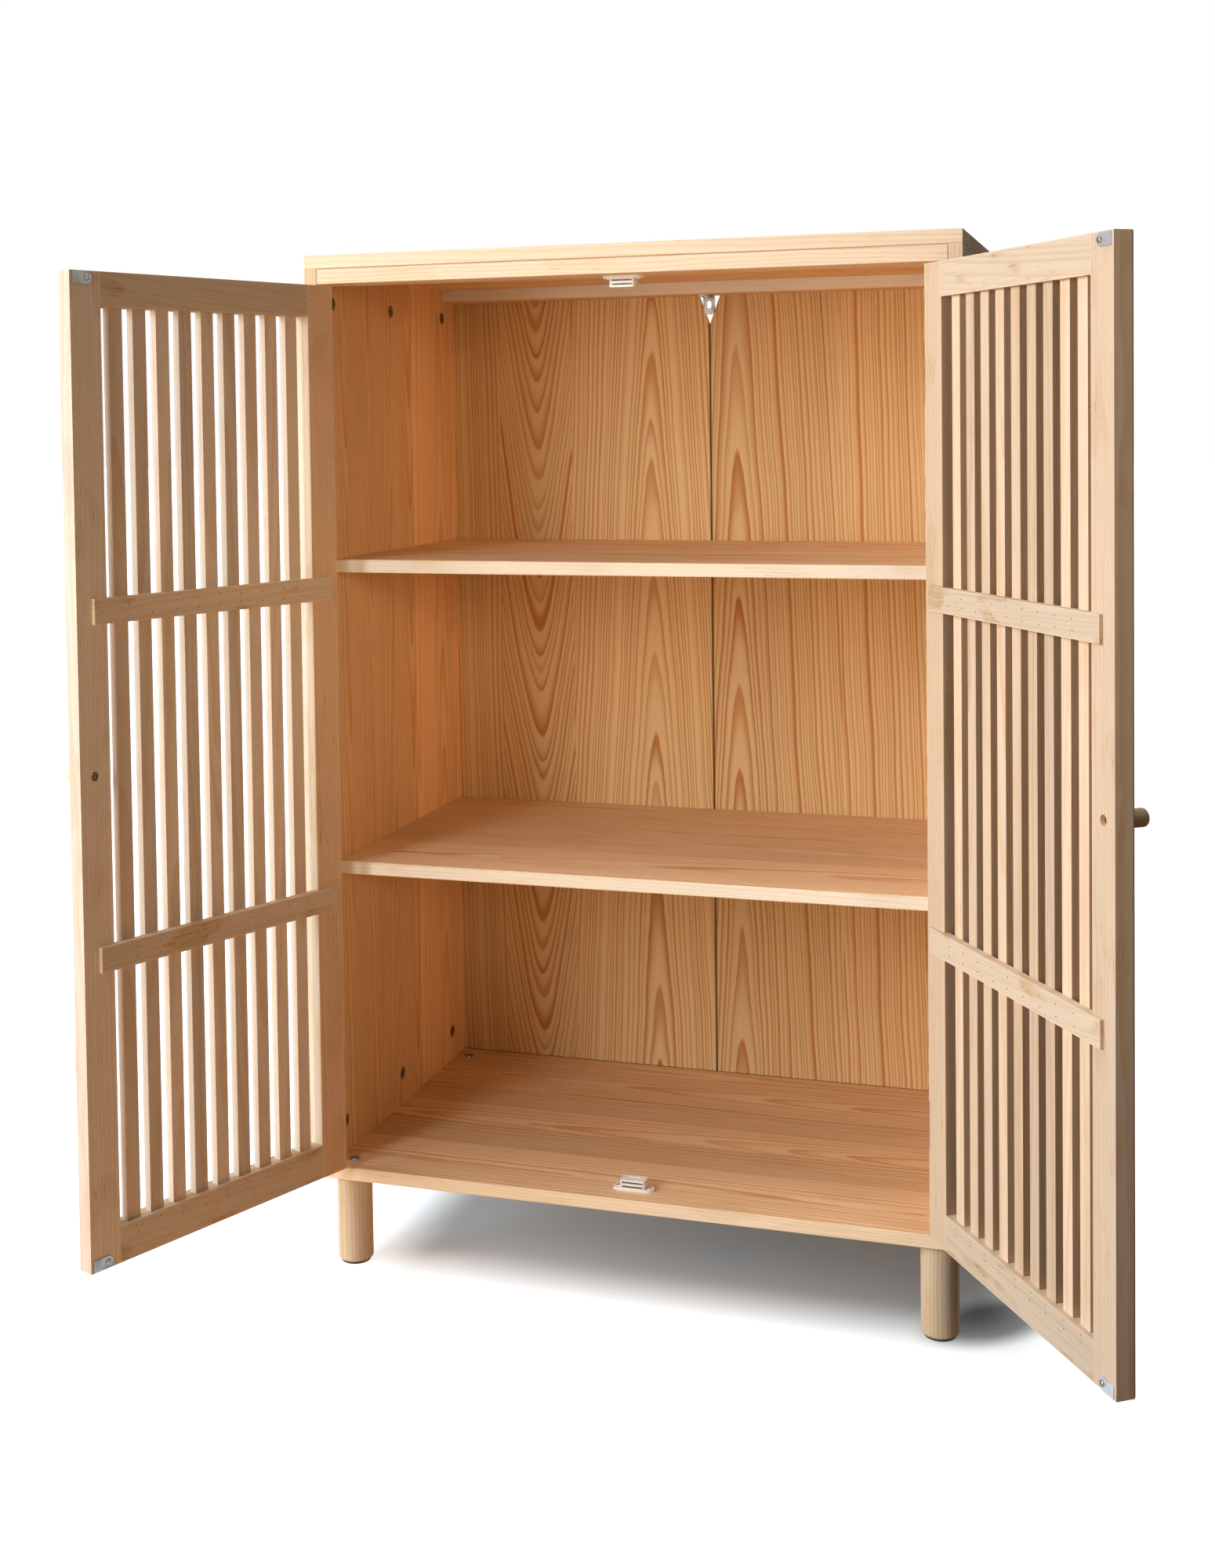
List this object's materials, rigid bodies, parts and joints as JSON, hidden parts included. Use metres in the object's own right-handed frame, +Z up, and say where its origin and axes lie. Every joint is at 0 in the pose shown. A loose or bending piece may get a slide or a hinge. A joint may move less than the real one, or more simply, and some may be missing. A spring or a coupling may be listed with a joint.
{
  "type": "slatted door cabinet",
  "caption": "Free-standing pine cabinet on round legs, with slatted hinged doors, shelves, magnetic catches and a wall bracket.",
  "frame": {"origin": "on the floor, under the middle of the carcass", "axes": "+Z up, +X to the right and +Y to the rear of someone who faces the doors"},
  "size_m": [1.0384, 0.7614, 1.15],
  "materials": {
    "pine_panel": "matt lacquer",
    "pine_back": "matt lacquer",
    "pine_door": "matt lacquer",
    "pine_turned": "matt lacquer",
    "beech": "raw",
    "steel": "zinc plated",
    "cam_zinc": "dull cast zinc",
    "white_plastic": "satin",
    "dark_plastic": "matt",
    "ferrite": "matt"
  },
  "bodies": {
    "carcass": {"top_panel": "pine_panel", "bottom_panel": "pine_panel", "left_side_panel": "pine_panel", "right_side_panel": "pine_panel", "front_top_rail": "pine_panel", "rear_top_rail": "pine_panel", "upper_shelf": "pine_panel", "lower_shelf": "pine_panel", "back_panel_left": "pine_back", "back_panel_right": "pine_back", "front_left_leg": "pine_turned", "front_right_leg": "pine_turned", "rear_left_leg": "pine_turned", "rear_right_leg": "pine_turned", "foot_glides": "dark_plastic", "leg_bolts": "steel", "cam_locks": "cam_zinc", "cam_bolts": "steel", "corner_dowels": "beech", "shelf_pins": "steel", "rail_screws": "steel", "back_screws": "steel", "wall_bracket": "steel", "wall_bracket_screw": "steel", "upper_catch_housing": "white_plastic", "lower_catch_housing": "white_plastic", "catch_magnets": "ferrite", "catch_pole_plates": "steel", "catch_screws": "steel", "carcass_hinge_leaves": "steel", "carcass_hinge_screws": "steel", "hinge_pins": "steel"},
    "left_door": {"left_hinge_stile": "pine_door", "left_free_stile": "pine_door", "left_top_rail": "pine_door", "left_bottom_rail": "pine_door", "left_slats": "pine_door", "left_upper_batten": "pine_door", "left_lower_batten": "pine_door", "left_knob": "pine_turned", "left_knob_screw": "steel", "left_strike_plates": "steel", "left_strike_screws": "steel", "left_hinge_leaves": "steel", "left_hinge_screws": "steel"},
    "right_door": {"right_hinge_stile": "pine_door", "right_free_stile": "pine_door", "right_top_rail": "pine_door", "right_bottom_rail": "pine_door", "right_slats": "pine_door", "right_upper_batten": "pine_door", "right_lower_batten": "pine_door", "right_knob": "pine_turned", "right_knob_screw": "steel", "right_strike_plates": "steel", "right_strike_screws": "steel", "right_hinge_leaves": "steel", "right_hinge_screws": "steel"}
  },
  "joints": [
    {"name": "left_door_hinge", "type": "hinge", "parent": "carcass", "child": "left_door", "pos_m": [-0.347, -0.218, 0.617], "axis": [0, 0, -1], "range_deg": [-112.3, 60]},
    {"name": "right_door_hinge", "type": "hinge", "parent": "carcass", "child": "right_door", "pos_m": [0.347, -0.218, 0.617], "axis": [0, 0, 1], "range_deg": [-123.9, 48]}
  ]
}
